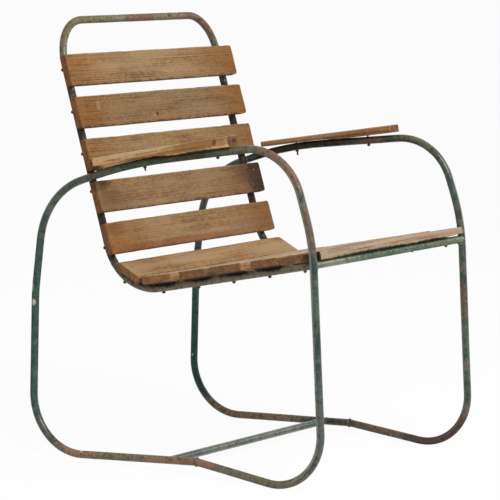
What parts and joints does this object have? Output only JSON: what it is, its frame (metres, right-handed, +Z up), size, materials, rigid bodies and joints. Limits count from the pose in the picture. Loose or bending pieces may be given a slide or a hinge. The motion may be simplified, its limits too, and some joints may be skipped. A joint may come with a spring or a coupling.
{
  "type": "garden armchair",
  "caption": "Garden armchair with a bent steel tube frame, closed side hoops that form legs and arms, and weathered wooden slats on seat, back and arms.",
  "frame": {"origin": "on the floor, in the middle of the chair's width and depth", "axes": "+Z up, -Y the way the sitter faces, +X to the sitter's left"},
  "size_m": [0.588, 0.6802, 0.8546],
  "materials": {
    "painted_tube": "old dark green paint, worn and rusted",
    "slat_wood": "weathered",
    "armrest_wood": "weathered and worn",
    "rusty_steel": "rusted",
    "braze": "dull"
  },
  "bodies": {
    "root": {"arm_welds": "painted_tube", "armrest_bolts": "rusty_steel", "armrest_nuts": "rusty_steel", "back_seat_frame": "painted_tube", "back_slat_1": "slat_wood", "back_slat_2": "slat_wood", "back_slat_3": "slat_wood", "back_slat_4": "slat_wood", "back_slat_5": "slat_wood", "back_slat_bolts": "rusty_steel", "back_slat_nuts": "rusty_steel", "floor_stretcher": "painted_tube", "front_rail_welds": "braze", "front_seat_rail": "painted_tube", "front_seat_slat": "slat_wood", "front_slat_bolts": "rusty_steel", "front_slat_nuts": "rusty_steel", "left_armrest": "armrest_wood", "left_side_hoop": "painted_tube", "rear_seat_slat": "slat_wood", "rear_slat_bolts": "rusty_steel", "rear_slat_nuts": "rusty_steel", "right_armrest": "armrest_wood", "right_side_hoop": "painted_tube", "seam_welds": "painted_tube", "seat_slat_1": "slat_wood", "seat_slat_2": "slat_wood", "seat_slat_3": "slat_wood", "seat_slat_4": "slat_wood", "seat_slat_bolts": "rusty_steel", "seat_slat_nuts": "rusty_steel", "side_rail_welds": "painted_tube", "stretcher_welds": "painted_tube"}
  },
  "joints": []
}
